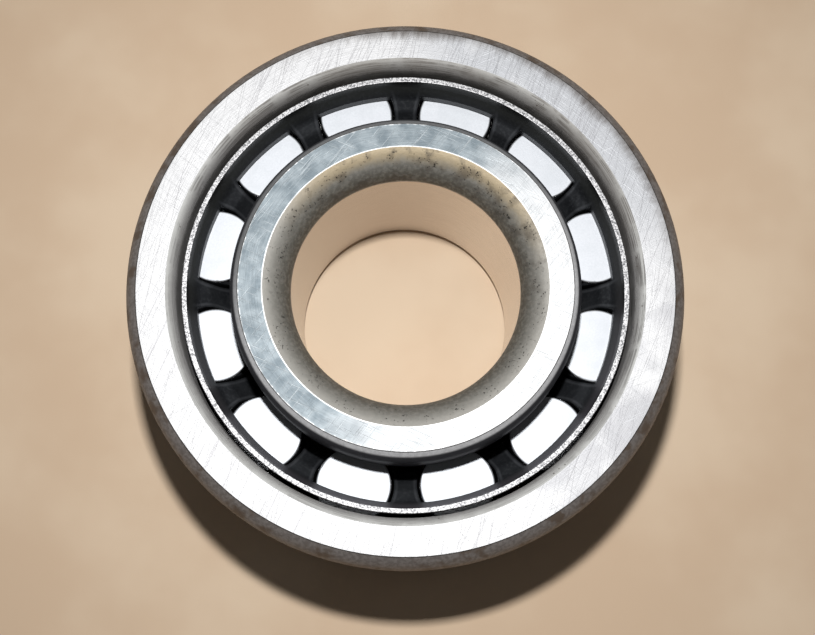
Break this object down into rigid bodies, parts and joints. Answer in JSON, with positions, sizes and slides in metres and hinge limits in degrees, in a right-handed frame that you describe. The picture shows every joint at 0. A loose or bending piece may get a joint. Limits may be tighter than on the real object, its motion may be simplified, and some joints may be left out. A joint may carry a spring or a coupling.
{
  "type": "cylindrical roller bearing",
  "caption": "Single-row cylindrical roller bearing: flanged outer ring, one-flange inner ring, pressed steel window cage and turning rollers.",
  "frame": {"origin": "centre of the bearing: on the bore axis, midway between the two side faces", "axes": "+Z along the bore axis towards the side with the inner ring's flange; +X and +Y are radial, +X through the middle of a cage bar"},
  "size_m": [0.072, 0.072, 0.027],
  "materials": {
    "ring_steel": "ground hardened bearing steel, fine grinding lines and light scratches on the faces, duller brown-grey corners",
    "inner_ring_steel": "ground hardened bearing steel, bluish grey brushed face, raw grey bore corner with light tan staining",
    "cage_steel": "black-oxide pressed sheet steel, satin, with bare bright sheared rims",
    "roller_steel": "fine ground hardened steel, bright matt ends and polished barrels"
  },
  "bodies": {
    "outer_ring": {"outer_ring": "ring_steel"},
    "inner_ring": {"inner_ring": "inner_ring_steel"},
    "cage": {"cage": "cage_steel"},
    "roller_01": {"roller_01": "roller_steel"},
    "roller_02": {"roller_02": "roller_steel"},
    "roller_03": {"roller_03": "roller_steel"},
    "roller_04": {"roller_04": "roller_steel"},
    "roller_05": {"roller_05": "roller_steel"},
    "roller_06": {"roller_06": "roller_steel"},
    "roller_07": {"roller_07": "roller_steel"},
    "roller_08": {"roller_08": "roller_steel"},
    "roller_09": {"roller_09": "roller_steel"},
    "roller_10": {"roller_10": "roller_steel"},
    "roller_11": {"roller_11": "roller_steel"},
    "roller_12": {"roller_12": "roller_steel"}
  },
  "joints": [
    {"name": "inner_ring_spin", "type": "hinge", "parent": "outer_ring", "child": "inner_ring", "pos_m": [0, 0, 0], "axis": [0, 0, 1], "continuous": true},
    {"name": "cage_spin", "type": "hinge", "parent": "outer_ring", "child": "cage", "pos_m": [0, 0, 0], "axis": [0, 0, 1], "continuous": true},
    {"name": "roller_01_spin", "type": "hinge", "parent": "cage", "child": "roller_01", "pos_m": [0.02511, 0.00673, 0], "axis": [0, 0, 1], "continuous": true},
    {"name": "roller_02_spin", "type": "hinge", "parent": "cage", "child": "roller_02", "pos_m": [0.01838, 0.01838, 0], "axis": [0, 0, 1], "continuous": true},
    {"name": "roller_03_spin", "type": "hinge", "parent": "cage", "child": "roller_03", "pos_m": [0.00673, 0.02511, 0], "axis": [0, 0, 1], "continuous": true},
    {"name": "roller_04_spin", "type": "hinge", "parent": "cage", "child": "roller_04", "pos_m": [-0.00673, 0.02511, 0], "axis": [0, 0, 1], "continuous": true},
    {"name": "roller_05_spin", "type": "hinge", "parent": "cage", "child": "roller_05", "pos_m": [-0.01838, 0.01838, 0], "axis": [0, 0, 1], "continuous": true},
    {"name": "roller_06_spin", "type": "hinge", "parent": "cage", "child": "roller_06", "pos_m": [-0.02511, 0.00673, 0], "axis": [0, 0, 1], "continuous": true},
    {"name": "roller_07_spin", "type": "hinge", "parent": "cage", "child": "roller_07", "pos_m": [-0.02511, -0.00673, 0], "axis": [0, 0, 1], "continuous": true},
    {"name": "roller_08_spin", "type": "hinge", "parent": "cage", "child": "roller_08", "pos_m": [-0.01838, -0.01838, 0], "axis": [0, 0, 1], "continuous": true},
    {"name": "roller_09_spin", "type": "hinge", "parent": "cage", "child": "roller_09", "pos_m": [-0.00673, -0.02511, 0], "axis": [0, 0, 1], "continuous": true},
    {"name": "roller_10_spin", "type": "hinge", "parent": "cage", "child": "roller_10", "pos_m": [0.00673, -0.02511, 0], "axis": [0, 0, 1], "continuous": true},
    {"name": "roller_11_spin", "type": "hinge", "parent": "cage", "child": "roller_11", "pos_m": [0.01838, -0.01838, 0], "axis": [0, 0, 1], "continuous": true},
    {"name": "roller_12_spin", "type": "hinge", "parent": "cage", "child": "roller_12", "pos_m": [0.02511, -0.00673, 0], "axis": [0, 0, 1], "continuous": true}
  ],
  "couplings": [
    {"joint": "cage_spin", "follows": "inner_ring_spin", "ratio": 0.40385},
    {"joint": "roller_01_spin", "follows": "inner_ring_spin", "ratio": -2.5038},
    {"joint": "roller_02_spin", "follows": "inner_ring_spin", "ratio": -2.5038},
    {"joint": "roller_03_spin", "follows": "inner_ring_spin", "ratio": -2.5038},
    {"joint": "roller_04_spin", "follows": "inner_ring_spin", "ratio": -2.5038},
    {"joint": "roller_05_spin", "follows": "inner_ring_spin", "ratio": -2.5038},
    {"joint": "roller_06_spin", "follows": "inner_ring_spin", "ratio": -2.5038},
    {"joint": "roller_07_spin", "follows": "inner_ring_spin", "ratio": -2.5038},
    {"joint": "roller_08_spin", "follows": "inner_ring_spin", "ratio": -2.5038},
    {"joint": "roller_09_spin", "follows": "inner_ring_spin", "ratio": -2.5038},
    {"joint": "roller_10_spin", "follows": "inner_ring_spin", "ratio": -2.5038},
    {"joint": "roller_11_spin", "follows": "inner_ring_spin", "ratio": -2.5038},
    {"joint": "roller_12_spin", "follows": "inner_ring_spin", "ratio": -2.5038}
  ]
}
